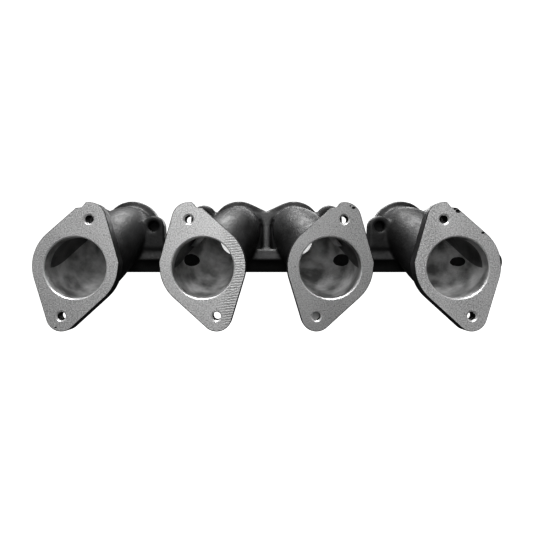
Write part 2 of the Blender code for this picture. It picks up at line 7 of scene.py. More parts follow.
# %% Load the frame
import json
import math
import bmesh
import bpy
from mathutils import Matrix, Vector

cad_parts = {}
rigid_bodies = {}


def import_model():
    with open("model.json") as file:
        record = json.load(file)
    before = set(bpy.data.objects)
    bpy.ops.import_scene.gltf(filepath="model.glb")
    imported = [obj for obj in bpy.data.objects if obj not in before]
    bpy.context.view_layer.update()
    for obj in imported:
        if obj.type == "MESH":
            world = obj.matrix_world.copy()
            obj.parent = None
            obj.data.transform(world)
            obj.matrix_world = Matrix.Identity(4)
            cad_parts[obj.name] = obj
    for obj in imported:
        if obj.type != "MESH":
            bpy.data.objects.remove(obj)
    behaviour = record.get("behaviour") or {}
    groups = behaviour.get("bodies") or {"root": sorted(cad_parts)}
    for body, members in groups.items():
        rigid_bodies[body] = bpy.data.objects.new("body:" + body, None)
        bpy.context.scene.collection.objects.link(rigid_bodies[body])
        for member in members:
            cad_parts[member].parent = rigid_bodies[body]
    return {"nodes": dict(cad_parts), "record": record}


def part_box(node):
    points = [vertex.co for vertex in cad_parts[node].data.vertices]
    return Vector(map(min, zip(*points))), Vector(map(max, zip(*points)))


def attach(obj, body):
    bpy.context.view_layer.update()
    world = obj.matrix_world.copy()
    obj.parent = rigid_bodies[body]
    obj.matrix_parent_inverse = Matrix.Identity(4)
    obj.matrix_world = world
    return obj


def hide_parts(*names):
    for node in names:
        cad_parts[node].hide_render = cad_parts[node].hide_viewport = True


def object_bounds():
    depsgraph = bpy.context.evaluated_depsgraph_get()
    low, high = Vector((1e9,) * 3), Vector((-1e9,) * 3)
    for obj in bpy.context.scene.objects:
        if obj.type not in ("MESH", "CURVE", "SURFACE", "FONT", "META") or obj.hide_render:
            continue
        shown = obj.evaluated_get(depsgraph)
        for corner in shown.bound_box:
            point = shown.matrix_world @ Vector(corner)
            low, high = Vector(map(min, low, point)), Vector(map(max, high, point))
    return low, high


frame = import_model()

cad_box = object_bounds()
MM = 0.001
print("design box", cad_box)

# %% [markdown]
# ## Places
# The design states every passage and hole as a box, so the middle of that box is the hole's place.
# Reading places from the design, and not from a ruler, keeps every piece of this lesson in line.

# %% Read the places
openings = {o["name"]: o["box_m"] for o in frame["record"]["physics"]["openings"]}


def place(opening):
    """The middle of a stated opening, as (x, z)."""
    low, high = openings[opening]
    return (low[0] + high[0]) / 2, (low[2] + high[2]) / 2


OUTLETS = [place(f"outlet_{n}") for n in (1, 2, 3, 4)]
PORTS = [place(f"port_{n}") for n in (1, 2, 3, 4)]
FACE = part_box("outlet_flange_1")[0][1]      # the milled outlet faces
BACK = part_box("outlet_flange_1")[1][1]      # the back of the outlet flanges
HEAD_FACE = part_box("head_flange")[1][1]
HEAD_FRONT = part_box("head_flange")[0][1]
print("outlets", OUTLETS, "ports", PORTS, "depths", FACE, BACK, HEAD_FRONT, HEAD_FACE)

# %% [markdown]
# ## The camera, before the making
# The view is level and straight on, close in front, so the near outlets look larger than the ears
# behind them.  Setting it first means that every later choice can be judged through it.

# %% Camera
VIEW_DISTANCE = 410 * MM
VIEW_HEIGHT = -37.5 * MM
LENS, SENSOR = 33.85, 36     # in millimetres, as a camera counts them
camera = bpy.data.objects.new("camera", bpy.data.cameras.new("camera"))
camera.location = (0, FACE - VIEW_DISTANCE, VIEW_HEIGHT)
camera.rotation_euler = (math.radians(90), 0, 0)
camera.data.sensor_width = SENSOR
camera.data.lens = LENS
bpy.context.scene.collection.objects.link(camera)
bpy.context.scene.camera = camera
print("camera at", tuple(camera.location))

# %% [markdown]
# ## Mesh helpers
# Most shapes here are a skin drawn over a row of rings.  A box is two rings of four points, a turned
# shape is a row of circles, and a pipe is a circle swept along a line.  Each gives one closed skin,
# which is what a Boolean needs.

# %% Skins
def finish_mesh(name, bm):
    """Makes an object of a bmesh, with its faces turned outwards."""
    bmesh.ops.recalc_face_normals(bm, faces=bm.faces)
    mesh = bpy.data.meshes.new(name)
    bm.to_mesh(mesh)
    bm.free()
    ob = bpy.data.objects.new(name, mesh)
    bpy.context.scene.collection.objects.link(ob)
    return ob


def loft(name, rings):
    """A closed skin through rings of points, with a cap at each end."""
    bm = bmesh.new()
    loops = [[bm.verts.new(p) for p in ring] for ring in rings]
    for a, b in zip(loops, loops[1:]):
        for i in range(len(a)):
            j = (i + 1) % len(a)
            bm.faces.new((a[i], a[j], b[j], b[i]))
    bm.faces.new(loops[0])
    bm.faces.new(loops[-1])
    return finish_mesh(name, bm)


def box(name, low, high):
    """A plain box between two corners."""
    outline = [(low[0], low[2]), (high[0], low[2]), (high[0], high[2]), (low[0], high[2])]
    return loft(name, [[(x, y, z) for x, z in outline] for y in (low[1], high[1])])


def turned(name, centre, profile, segments=48):
    """A profile of (radius, depth) points, turned about a line through centre that runs to the back."""
    rings = []
    for radius, depth in profile:
        ring = []
        for i in range(segments):
            a = 2 * math.pi * i / segments
            ring.append((centre[0] + radius * math.cos(a), depth, centre[1] + radius * math.sin(a)))
        rings.append(ring)
    return loft(name, rings)


# %% [markdown]
# ## Booleans that keep up
# Cutting a fine mesh is slow with the exact solver.  The Manifold solver does the same in a fraction of
# the time, as long as both skins are closed.  Applying each cut at once leaves a plain mesh to go on with.

# %% Cut, join and keep
def apply_modifiers(ob):
    """Replaces an object's mesh with what its modifiers make of it."""
    graph = bpy.context.evaluated_depsgraph_get()
    mesh = bpy.data.meshes.new_from_object(ob.evaluated_get(graph), depsgraph=graph)
    ob.modifiers.clear()
    ob.data = mesh


def boolean(ob, other, operation, keep=False):
    """Cuts, joins or crosses an object with another, which is then deleted unless it is kept."""
    step = ob.modifiers.new("boolean", "BOOLEAN")
    step.operation = operation
    step.solver = "MANIFOLD"
    step.object = other
    apply_modifiers(ob)
    if not keep:
        bpy.data.objects.remove(other)


def copy_of(ob, name):
    """A copy with a mesh of its own."""
    twin = bpy.data.objects.new(name, ob.data.copy())
    bpy.context.scene.collection.objects.link(twin)
    return twin


def faces_of(ob):
    return len(ob.data.polygons)


# %% [markdown]
# ## The runners' middle lines
# Each runner leaves its outlet straight, climbs inwards, and arrives straight at its port.  A Bezier
# curve with one handle at each end does just that.  The passage is widest at the outlet and narrows
# late, close to the port.

# %% Runner lines
BORE_RADIUS = 25.4 * MM
PORT_RADIUS = 16 * MM
WALL = 3.5 * MM
OUTLET_EASE = 0.46           # how long the runner stays straight at the outlet, as a share of its depth
PORT_EASE = 0.38
TAPER_POWER = 2.4            # a higher number keeps the passage wide for longer


def line_point(number, t):
    """A point on a runner's middle line and its heading; t runs from 0 at the outlet to 1 at the port."""
    start = Vector((OUTLETS[number][0], BACK, OUTLETS[number][1]))
    end = Vector((PORTS[number][0], HEAD_FRONT, PORTS[number][1]))
    leave = start + Vector((0, (end.y - start.y) * OUTLET_EASE, 0))
    arrive = end - Vector((0, (end.y - start.y) * PORT_EASE, 0))
    u = 1 - t
    point = start * u ** 3 + leave * 3 * u * u * t + arrive * 3 * u * t * t + end * t ** 3
    heading = (leave - start) * u * u + (arrive - leave) * 2 * u * t + (end - arrive) * t * t
    return point, heading.normalized()


def passage_radius(t):
    return BORE_RADIUS + (PORT_RADIUS - BORE_RADIUS) * t ** TAPER_POWER


def around(number, heading):
    """Two directions square to a heading: towards the manifold's end, and upwards."""
    outwards = Vector((-1 if number < 2 else 1, 0, 0))
    side = (outwards - heading * outwards.dot(heading)).normalized()
    rise = side.cross(heading)
    return side, rise if rise.z > 0 else -rise


def sweep(name, number, extra, before, after, segments=64, steps=28, mismatch=0.0):
    """A round bar along a runner, extra thicker than its passage, run on straight at both ends.
    Its upper half can be thicker again by a mismatch, which leaves a step along both sides."""
    stations = [(line_point(number, i / steps), i / steps) for i in range(steps + 1)]
    straight = Vector((0, 1, 0))
    stations.insert(0, ((stations[0][0][0] - straight * before, straight), 0))
    stations.append(((stations[-1][0][0] + straight * after, straight), 1))
    rings = []
    for (point, heading), t in stations:
        side, rise = around(number, heading)
        radius = passage_radius(t) + extra
        ring = []
        for i in range(segments):
            a = 2 * math.pi * i / segments
            step_out = mismatch if 0 < i < segments // 2 else 0
            ring.append(point + (radius + step_out) * (math.cos(a) * side + math.sin(a) * rise))
        rings.append(ring)
    return loft(name, rings)


print("runner 1 midway", line_point(0, 0.5)[0])

# %% [markdown]
# ## One casting
# On the real part the runners, roots, bosses, pads and flange are poured in one go, so every inside
# corner has a soft fillet.  Modelling each fillet by hand would take for ever.  Instead the plain solids
# are laid over one another, a voxel Remesh melts them into one skin, and a few rounds of smoothing
# soften what was sharp.  The crisp machined faces are cut afterwards, as in the real shop.
# Smoothing shrinks thin things, so the design's own solids are swollen a little first.

# %% Plain bars and roots
OUTLET_ROOT = 5.0 * MM       # how far the runner's root flares at the outlet flange
PORT_ROOT = 1.5 * MM
ROOT_LENGTH = 10 * MM
ROOT_CURVE = 2.2             # a higher number pulls the flare closer to the flange
ROOT_BED = 4 * MM            # how far a root starts inside its flange
RUN_ON = 6 * MM              # how far a bar runs on past both ends of its runner


def root(name, centre, plane, direction, radius, flare):
    """A hollow-curved cone where a runner grows out of a flange."""
    steps = 6
    profile = [(radius + flare, plane - direction * ROOT_BED), (radius + flare, plane)]
    for i in range(1, steps + 1):
        share = i / steps
        reach = flare * (1 - share) ** ROOT_CURVE
        profile.append((radius + reach, plane + direction * ROOT_LENGTH * share))
    return turned(name, centre, profile)


solids = []
for n in range(4):
    solids.append(sweep(f"bar_{n + 1}", n, WALL, RUN_ON, RUN_ON))
    solids.append(root(f"outlet_root_{n + 1}", OUTLETS[n], BACK, 1, BORE_RADIUS + WALL, OUTLET_ROOT))
    solids.append(root(f"port_root_{n + 1}", PORTS[n], HEAD_FRONT, -1, PORT_RADIUS + WALL, PORT_ROOT))
print(len(solids), "bars and roots")

# %% Plain flange, rail, pads and bosses
CAST_PARTS = ("head_flange", "lower_rail", "pad_left", "pad_centre", "pad_right", "stud_boss_left",
              "stud_boss_right", "bracket_lug_left", "bracket_lug_right", "side_boss")
INFLATE = 0.3 * MM           # smoothing takes about this much back off
MILLING_STOCK = 4 * MM       # extra iron behind the head face, for the milling cutter to take off
FACE_BAND = 1 * MM           # points this close to the head face belong to it

for node in CAST_PARTS:
    plain = copy_of(frame["nodes"][node], f"plain_{node}")
    swell = plain.modifiers.new("swell", "DISPLACE")
    swell.strength = INFLATE
    swell.mid_level = 0
    apply_modifiers(plain)
    solids.append(plain)

for v in bpy.data.objects["plain_head_flange"].data.vertices:
    if v.co.y > HEAD_FACE - FACE_BAND:
        v.co.y += MILLING_STOCK
print(len(solids), "plain solids")

# %% [markdown]
# ## Draft
# A pattern has to be drawn out of the sand, so its fronts lean a little; founders call that draft.
# Moving the front points back, more at one end than at the other, leans a face and keeps it flat.

# %% Lean the pads and the rail
PAD_DRAFT, RAIL_DRAFT = 3.5 * MM, 3 * MM


def lean_front(node, top_back, foot_back):
    """Moves the front of a plain solid back, by one distance at its top and another at its foot."""
    low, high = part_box(node)
    middle_y = (low[1] + high[1]) / 2
    for v in bpy.data.objects[f"plain_{node}"].data.vertices:
        if v.co.y < middle_y:
            share = (v.co.z - low[2]) / (high[2] - low[2])
            v.co.y += foot_back + (top_back - foot_back) * share


for node in ("pad_left", "pad_centre", "pad_right"):
    lean_front(node, PAD_DRAFT, 0)
lean_front("lower_rail", 0, RAIL_DRAFT)
print("drafts", PAD_DRAFT, RAIL_DRAFT)

# %% [markdown]
# ## The web
# The web between the centre ports is slim where it stands on the pad and spreads into both ports at its
# head.  Its outline is a formula, so the spread can be changed with one number.

# %% Waisted web
WEB_HALF_WIDTH = 4.4 * MM
WEB_SPREAD = 10 * MM
SPREAD_FROM = 0.62           # the share of the web's height where the spread starts
WEB_LOW, WEB_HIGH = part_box("centre_rib")[0][2] - 2 * MM, 15.5 * MM      # up to the notch between the ears
WEB_FOOT, WEB_HEAD = -27 * MM, HEAD_FRONT - 1 * MM      # the front edge leans back towards its head
WEB_BED = HEAD_FRONT + 2 * MM
WEB_NARROWING = 0.8          # the width in front, as a share of the width at the flange


def web():
    """A wall whose width follows its height."""
    rings = []
    steps = 14
    for i in range(steps + 1):
        share = i / steps
        z = WEB_LOW + (WEB_HIGH - WEB_LOW) * share
        half = WEB_HALF_WIDTH + WEB_SPREAD * max(0, (share - SPREAD_FROM) / (1 - SPREAD_FROM)) ** 2
        front = WEB_FOOT + (WEB_HEAD - WEB_FOOT) * share
        rings.append([(-half, WEB_BED, z), (half, WEB_BED, z),
                      (half * WEB_NARROWING, front, z), (-half * WEB_NARROWING, front, z)])
    return loft("web", rings)


solids.append(web())
print("web from", WEB_LOW, "up to", WEB_HIGH)

# %% Melt and soften
VOXEL = 1.3 * MM
SOFTEN_FACTOR = 0.5
SOFTEN_ROUNDS = 10


def melt(parts, name):
    """Joins overlapping closed skins into one, by voxels, and softens it."""
    bm = bmesh.new()
    for part in parts:
        bm.from_mesh(part.data)
        bpy.data.objects.remove(part)
    whole = finish_mesh(name, bm)
    remesh = whole.modifiers.new("voxels", "REMESH")
    remesh.mode = "VOXEL"
    remesh.voxel_size = VOXEL
    soften = whole.modifiers.new("soften", "SMOOTH")
    soften.factor = SOFTEN_FACTOR
    soften.iterations = SOFTEN_ROUNDS
    apply_modifiers(whole)
    return whole


casting = melt(solids, "casting")
print("casting", faces_of(casting), "faces")

# %% [markdown]
# ## Milling and coring
# The milled planes come first: a big box takes the stock off each end.  Then the passages are cut.  A
# passage is the runner's own sweep with no wall, so the wall is even all the way.  In the foundry a
# sand core fills it, made in two halves that never match exactly.  So the upper half of each sweep is
# a little larger, which leaves a fine step along both sides of the passage.

# %% Cut the planes and the passages
FAR = 0.3                    # beyond the part on every side
CORE_MISMATCH = 1.0 * MM
PAST_OUTLET, PAST_PORT = 5 * MM, 20 * MM
boolean(casting, box("head_cut", (-FAR, HEAD_FACE, -FAR), (FAR, FAR, FAR)), "DIFFERENCE")
boolean(casting, box("outlet_cut", (-FAR, -FAR, -FAR), (FAR, BACK, FAR)), "DIFFERENCE")
for n in range(4):
    passage = sweep(f"passage_{n + 1}", n, 0, PAST_OUTLET, PAST_PORT, mismatch=CORE_MISMATCH)
    boolean(casting, passage, "DIFFERENCE")
print("cored casting", faces_of(casting), "faces")

# %% [markdown]
# ## Pockets in the walls
# Three of the passages have a shallow pocket in the outer wall, whose faces get painted shade.  An egg
# shape alone would bite deep at its middle and could break through.  Crossing it with a slightly fatter
# sweep leaves only a thin shell, so the pocket's floor follows the wall at one depth.

# %% Cut the pockets
POCKETS = {1: (0.30, 1.0), 2: (0.30, 1.0), 3: (0.28, 0.75)}     # passage: (share of the way along, size)
POCKET_ANGLE = math.radians(-18)
POCKET_DEPTH = 2.5 * MM
POCKET_RADII = Vector((11, 12, 5.6)) * MM


def wall_point(number, t, angle, inset=0.0):
    """A point on a passage's wall: t along the runner, angle about it, 0 outwards and 90 degrees up."""
    centre, heading = line_point(number, t)
    side, rise = around(number, heading)
    return centre + (passage_radius(t) - inset) * (math.cos(angle) * side + math.sin(angle) * rise)


def soft_ball(name, centre, radii, segments=24):
    """An egg-shaped skin."""
    bm = bmesh.new()
    bmesh.ops.create_uvsphere(bm, u_segments=segments, v_segments=segments // 2, radius=1)
    for v in bm.verts:
        v.co = Vector([centre[k] + v.co[k] * radii[k] for k in range(3)])
    return finish_mesh(name, bm)


for n, (t, size) in POCKETS.items():
    pocket = sweep("pocket", n, POCKET_DEPTH, 0, 0)
    egg = soft_ball("egg", wall_point(n, t, POCKET_ANGLE), POCKET_RADII * size)
    boolean(pocket, egg, "INTERSECT")
    boolean(casting, pocket, "DIFFERENCE")
print(len(POCKETS), "pockets")

# %% [markdown]
# ## Slim columns
# In the two middle passages a slim column stands in front of the outer wall, a little way in.  It is a
# straight round bar between two places on the curved wall.  Both ends are moved a little inwards, so
# that the bar's back doesn't come out through the runner's skin.

# %% Add the columns
COLUMN_RADIUS = 3.2 * MM
COLUMN_INSET = 1.6 * MM      # towards the middle line, so that the straight column stays inside the wall
COLUMN_SIDES = 16
COLUMN_ENDS = ((0.40, math.radians(58)), (0.36, math.radians(8)))     # (share of the way along, angle)


def column(number):
    """A round bar between two places on a passage's wall."""
    angles = [2 * math.pi * i / COLUMN_SIDES for i in range(COLUMN_SIDES)]
    rings = []
    for t, angle in COLUMN_ENDS:
        end = wall_point(number, t, angle, COLUMN_INSET)
        rings.append([(end.x + COLUMN_RADIUS * math.cos(a), end.y + COLUMN_RADIUS * math.sin(a), end.z)
                      for a in angles])
    return loft("column", rings)


for n in (1, 2):
    boolean(casting, column(n), "UNION")
print("casting with columns", faces_of(casting), "faces")

# %% [markdown]
# ## Drilled holes
# A drilled hole is a turned shape as well: a wide cone for the chamfer at its mouth, then a straight
# bore.  The design says where each one goes and how deep it is.

# %% Drill the stud and lug holes
STUD_RADIUS = 5.1 * MM
STUD_CHAMFER, LUG_CHAMFER = 0.5 * MM, 0.6 * MM
LEAD = 3 * MM                # the design's box for a hole starts this far in front of the metal
HOLE_SEGMENTS = 32


def drill(ob, opening, radius, chamfer):
    """A straight hole with a chamfered mouth, where the design states an opening."""
    low, high = openings[opening]
    mouth = low[1] + LEAD
    profile = [(radius + chamfer + LEAD, mouth - LEAD), (radius, mouth + chamfer), (radius, high[1])]
    boolean(ob, turned("drill", place(opening), profile, HOLE_SEGMENTS), "DIFFERENCE")


for side in ("left", "right"):
    drill(casting, f"stud_hole_{side}", STUD_RADIUS, STUD_CHAMFER)
    drill(casting, f"end_stud_hole_{side}", STUD_RADIUS, STUD_CHAMFER)
    drill(casting, f"lug_hole_{side}", STUD_RADIUS, LUG_CHAMFER)
print("machined casting", faces_of(casting), "faces")

# %% [markdown]
# ## Sawn into its pieces
# The design lists the casting's parts one by one, and so does this model.  Now that the fillets are in,
# the casting is sawn apart along planes inside the metal.  Each part keeps the softened skin, closes
# with flat cuts, and meets its neighbour exactly, so no seam shows.  Angle-sharp edges keep the shading
# of the outer skin untouched by the hidden cut faces.

# %% Saw blocks
RAIL_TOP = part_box("lower_rail")[1][2]
PAD_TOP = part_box("pad_centre")[1][2]
RAIL, PADS, UPPER = (-FAR, RAIL_TOP), (RAIL_TOP, PAD_TOP), (PAD_TOP, FAR)     # three layers, by height
GAP_X = (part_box("runner_1")[1][0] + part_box("runner_2")[0][0]) / 2     # midway between runners 1 and 2
MIDDLE_X = (-22 * MM, 22 * MM)
PAD_X, STUD_X, LUG_X = (45 * MM, 130 * MM), (40 * MM, 79 * MM), (86 * MM, 128 * MM)     # right-hand side
SAW_FRONT = -60 * MM
SKIN = 0.8 * MM              # a sawn-off bracket leaves this much on the runner
KNOB_START = OUTLETS[3][0] + BORE_RADIUS + WALL + SKIN
KNOB_LOW, KNOB_HIGH = -50 * MM, -20 * MM


def mirrored(x_range):
    return -x_range[1], -x_range[0]


def saw_block(x_range, z_range, runners):
    """A box with the runners that pass through it taken out, which saws off one small part."""
    block = box("saw", (x_range[0], SAW_FRONT, z_range[0]), (x_range[1], HEAD_FRONT, z_range[1]))
    for n in runners:
        bar = sweep("bar", n, WALL + SKIN, RUN_ON, RUN_ON, segments=48, steps=16)
        boolean(block, bar, "DIFFERENCE")
    return block


SMALL_PARTS = {
    "lower_rail": saw_block((-FAR, FAR), RAIL, (0, 1, 2, 3)),
    "pad_left": saw_block(mirrored(PAD_X), PADS, (0, 1)),
    "pad_centre": saw_block(MIDDLE_X, PADS, (1, 2)),
    "pad_right": saw_block(PAD_X, PADS, (2, 3)),
    "centre_rib": saw_block(MIDDLE_X, UPPER, (1, 2)),
    "stud_boss_left": saw_block(mirrored(STUD_X), UPPER, (0, 1)),
    "stud_boss_right": saw_block(STUD_X, UPPER, (2, 3)),
    "bracket_lug_left": saw_block(mirrored(LUG_X), UPPER, (0,)),
    "bracket_lug_right": saw_block(LUG_X, UPPER, (3,)),
}
head_block = box("saw", (-FAR, HEAD_FRONT, -FAR), (FAR, FAR, FAR))
knob_block = box("saw", (KNOB_START, -FAR, KNOB_LOW), (FAR, HEAD_FRONT, KNOB_HIGH))
print(len(SMALL_PARTS) + 2, "saw blocks")

# %% Saw the casting
PIECES = {}


def saw_off(name, block):
    """Moves what lies inside a block from the casting to a piece of its own."""
    piece = copy_of(casting, f"cast_{name}")
    boolean(piece, block, "INTERSECT", keep=True)
    boolean(casting, block, "DIFFERENCE")
    PIECES[name] = piece


saw_off("head_flange", head_block)
for name, block in SMALL_PARTS.items():
    saw_off(name, block)
saw_off("side_boss", knob_block)
RUNNER_RANGES = ((-FAR, GAP_X), (GAP_X, 0), (0, -GAP_X), (-GAP_X, FAR))
for n, (low, high) in enumerate(RUNNER_RANGES):
    saw_off(f"runner_{n + 1}", box("saw", (low, -FAR, -FAR), (high, HEAD_FRONT, FAR)))
for ob in [o for o in bpy.data.objects if o.name.startswith("saw")] + [casting]:
    bpy.data.objects.remove(ob)
print(len(PIECES), "cast pieces")

# %% [markdown]
# A saw cut along a curved skin can leave slivers that hang on to nothing.  Walking from point to point
# along the edges finds each separate body of a piece, and only the largest one is kept.

# %% Drop the slivers
DOUBLE = 0.002 * MM          # points closer than this are one point


def keep_body(piece):
    """Merges doubled points, keeps the largest body and says how many smaller ones went."""
    bm = bmesh.new()
    bm.from_mesh(piece.data)
    bmesh.ops.remove_doubles(bm, verts=bm.verts, dist=DOUBLE)
    bmesh.ops.dissolve_degenerate(bm, edges=bm.edges, dist=DOUBLE)
    waiting, islands = set(bm.verts), []
    while waiting:
        island, front = set(), [waiting.pop()]
        while front:
            v = front.pop()
            island.add(v)
            for edge in v.link_edges:
                other = edge.other_vert(v)
                if other in waiting:
                    waiting.discard(other)
                    front.append(other)
        islands.append(island)
    islands.sort(key=len)
    strays = [v for island in islands[:-1] for v in island]
    bmesh.ops.delete(bm, geom=strays, context="VERTS")
    bm.to_mesh(piece.data)
    bm.free()
    return len(islands) - 1


for name, piece in PIECES.items():
    print(name, keep_body(piece), "slivers dropped,", faces_of(piece), "faces")

# %% [markdown]
# ## Outlet flanges
# Each outlet flange is a leaning oval around the bore with a lobe for each bolt.  On the second and the
# fourth it leans the other way.  The outline is arcs and the straight lines that touch them, so it is
# worked out from radii, not drawn by eye.  A corner juts out on the steep side, and there is a small
# step beside the upper lobe.

# %% Outline of an outlet flange
BOLT_SPACING = 82.5 * MM
BOLT_TILT = math.radians(16)
BOLT_RADIUS = 3.4 * MM
LAND = 10 * MM               # metal around the bore
RISE = 1.4 * MM              # the round middle sits this far above the bore
NOSE_RADIUS = 14.2 * MM      # upper lobe
FOOT_RADIUS = 12.7 * MM      # lower lobe
STEP_BACK, STEP_WIDTH, STEP_RISE = 2 * MM, 4.8 * MM, 0.5 * MM
STEP_TOP = math.radians(101)
SHOULDER_REACH, SHOULDER_HEIGHT = 0.6 * MM, 4.4 * MM


def angle_of(point, centre):
    """The direction from a centre to a point."""
    return math.atan2(point[1] - centre[1], point[0] - centre[0])


def touch_from(point, centre, radius, side):
    """Where a line from an outside point touches a circle, as an angle about the circle's centre."""
    away = math.dist(point, centre)
    return angle_of(point, centre) + side * math.acos(radius / away)


def touch_both(c1, r1, c2, r2, side):
    """The direction from both centres to the straight line that touches two circles."""
    return angle_of(c2, c1) + side * math.acos((r1 - r2) / math.dist(c1, c2))


def arc(centre, radius, start, end, steps):
    """Points along an arc, with both its ends."""
    angles = [start + (end - start) * i / steps for i in range(steps + 1)]
    return [(centre[0] + radius * math.cos(a), centre[1] + radius * math.sin(a)) for a in angles]


def flange_outline(number, grow=0.0):
    """The outline of one outlet flange; every second one is mirrored."""
    lean = 1 if number % 2 == 0 else -1
    turn = 2 * math.pi
    middle, round_radius = (0, RISE), BORE_RADIUS + LAND + grow
    nose = (math.sin(BOLT_TILT) * BOLT_SPACING / 2, math.cos(BOLT_TILT) * BOLT_SPACING / 2)
    foot = (-nose[0], -nose[1])
    nose_radius, foot_radius = NOSE_RADIUS + grow, FOOT_RADIUS + grow
    shoulder = (round_radius + SHOULDER_REACH, SHOULDER_HEIGHT)
    steep = touch_from(shoulder, nose, nose_radius, 1)
    long_edge = touch_both(middle, round_radius, nose, nose_radius, 1)
    foot_steep = touch_both(middle, round_radius, foot, foot_radius, -1) % turn
    foot_long = touch_both(middle, round_radius, foot, foot_radius, 1) % turn
    corner = (nose[0] + nose_radius * math.cos(long_edge) - STEP_BACK * math.sin(long_edge),
              nose[1] + nose_radius * math.sin(long_edge) + STEP_BACK * math.cos(long_edge))
    points = [shoulder] + arc(nose, nose_radius, steep, STEP_TOP, 18)
    points += [(corner[0] + STEP_WIDTH, corner[1] + STEP_RISE), corner]
    points += arc(middle, round_radius, long_edge, foot_steep, 26)
    points += arc(foot, foot_radius, foot_steep, foot_long, 22)
    back_to_shoulder = turn + touch_from(shoulder, middle, round_radius, -1)
    points += arc(middle, round_radius, foot_long, back_to_shoulder, 12)
    return [(OUTLETS[number][0] + lean * x, OUTLETS[number][1] + z) for x, z in points]


print("outline of", len(flange_outline(0)), "points")

# %% [markdown]
# The plate is a cast slab that has been milled on its face only.  Its sides keep the black casting skin
# with a soft edge at the back and a broken edge at the front, so it is lofted through five outlines
# that grow and shrink a little, then bored and drilled.  Two bores keep a rough lip of the casting at
# their edge, and three plates have small knocks in their rims, as a well-handled part does.

# %% Plates
EDGE_BREAK = 0.6 * MM
BACK_ROUND = 1.2 * MM
BORE_CHAMFER = 0.9 * MM
HOLE_CHAMFER = 1.3 * MM
BORE_SEGMENTS, LIP_SEGMENTS, DENT_SEGMENTS = 96, 64, 12
PROUD = 2 * MM               # a cutter starts and ends this far outside the plate
LIPS = {1: math.radians(40), 2: math.radians(140)}     # where a rough lip is left at a bore's edge
LIP_RADIUS, LIP_DEPTH, LIP_LENGTH = 12 * MM, 2.4 * MM, 5 * MM
DENT_DEPTH, DENT_HEIGHT = 0.6, 0.7     # as shares of a dent's half width
DENTS = {                    # (x, z) from the bore's middle and half width, all in millimetres
    0: ((-15.8, -48.8, 0.9),),
    2: ((19.0, 49.0, 1.6), (16.4, 50.6, 0.8)),
    3: ((0.2, 46.4, 2.3), (-2.4, 48.2, 1.4), (20.4, 28.6, 1.5)),
}


def bore_cutter(number):
    """The bore with its chamfer; a lip is left where a round bar is taken out of the cutter."""
    centre = OUTLETS[number]
    profile = [(BORE_RADIUS + BORE_CHAMFER + PROUD, FACE - PROUD), (BORE_RADIUS, FACE + BORE_CHAMFER),
               (BORE_RADIUS, BACK + PROUD)]
    bore = turned("bore", centre, profile, BORE_SEGMENTS)
    if number in LIPS:
        away = BORE_RADIUS - LIP_DEPTH + LIP_RADIUS
        middle = (centre[0] + away * math.cos(LIPS[number]), centre[1] + away * math.sin(LIPS[number]))
        ends = [(LIP_RADIUS, FACE + BORE_CHAMFER), (LIP_RADIUS, FACE + LIP_LENGTH)]
        boolean(bore, turned("lip", middle, ends, LIP_SEGMENTS), "DIFFERENCE")
    return bore


def plate(number):
    """One outlet flange, lofted, bored, dented and drilled."""
    layers = ((FACE, -EDGE_BREAK), (FACE + EDGE_BREAK, 0), (BACK - BACK_ROUND, 0),
              (BACK - BACK_ROUND * 0.3, -BACK_ROUND * 0.3), (BACK, -BACK_ROUND))
    rings = [[(x, y, z) for x, z in flange_outline(number, grow)] for y, grow in layers]
    ob = loft(f"milled_flange_{number + 1}", rings)
    boolean(ob, bore_cutter(number), "DIFFERENCE")
    for x, z, width in DENTS.get(number, ()):
        middle = (OUTLETS[number][0] + x * MM, FACE, OUTLETS[number][1] + z * MM)
        radii = (width * MM, width * DENT_DEPTH * MM, width * DENT_HEIGHT * MM)
        boolean(ob, soft_ball("dent", middle, radii, DENT_SEGMENTS), "DIFFERENCE")
    for end in ("top", "low"):
        drill(ob, f"bolt_hole_{number + 1}_{end}", BOLT_RADIUS, HOLE_CHAMFER)
    return ob


for n in range(4):
    PIECES[f"outlet_flange_{n + 1}"] = plate(n)
print("outlet flanges", [faces_of(PIECES[f"outlet_flange_{n}"]) for n in (1, 2, 3, 4)])

# %% [markdown]
# ## Black casting
# Iron from a sand mould has a fine, pebbly skin, and a satin black paint over it.  Four scales of noise
# make it: broad clouds vary the colour, patches vary the sheen, and two sizes of pebbles roughen it.
# Coordinates come from the object itself, so the grain keeps its real size on every piece.

# %% Node helpers
MIX_FACTOR, MIX_FIRST, MIX_SECOND, MIX_COLOUR = 0, 6, 7, 2     # the colour sockets of a Mix node


def new_material(name, colour, roughness, metallic=0.0):
    """A new material, its nodes, its links and its shader."""
    material = bpy.data.materials.new(name)
    material.use_nodes = True
    shader = material.node_tree.nodes["Principled BSDF"]
    shader.inputs["Base Color"].default_value = (*colour, 1)
    shader.inputs["Roughness"].default_value = roughness
    shader.inputs["Metallic"].default_value = metallic
    return material, material.node_tree.nodes, material.node_tree.links, shader


def noise(nodes, links, scale, detail):
    """Noise on the object's own coordinates: scale is how many grains fit in a metre."""
    where = nodes.new("ShaderNodeTexCoord")
    grains = nodes.new("ShaderNodeTexNoise")
    grains.inputs["Scale"].default_value = scale
    grains.inputs["Detail"].default_value = detail
    links.new(where.outputs["Object"], grains.inputs["Vector"])
    return grains.outputs["Fac"]


def blend_range(nodes, links, value, low, high, out_low, out_high):
    """Maps a value between low and high to a new range."""
    ramp = nodes.new("ShaderNodeMapRange")
    for socket, number in zip(("From Min", "From Max", "To Min", "To Max"), (low, high, out_low, out_high)):
        ramp.inputs[socket].default_value = number
    links.new(value, ramp.inputs["Value"])
    return ramp.outputs["Result"]


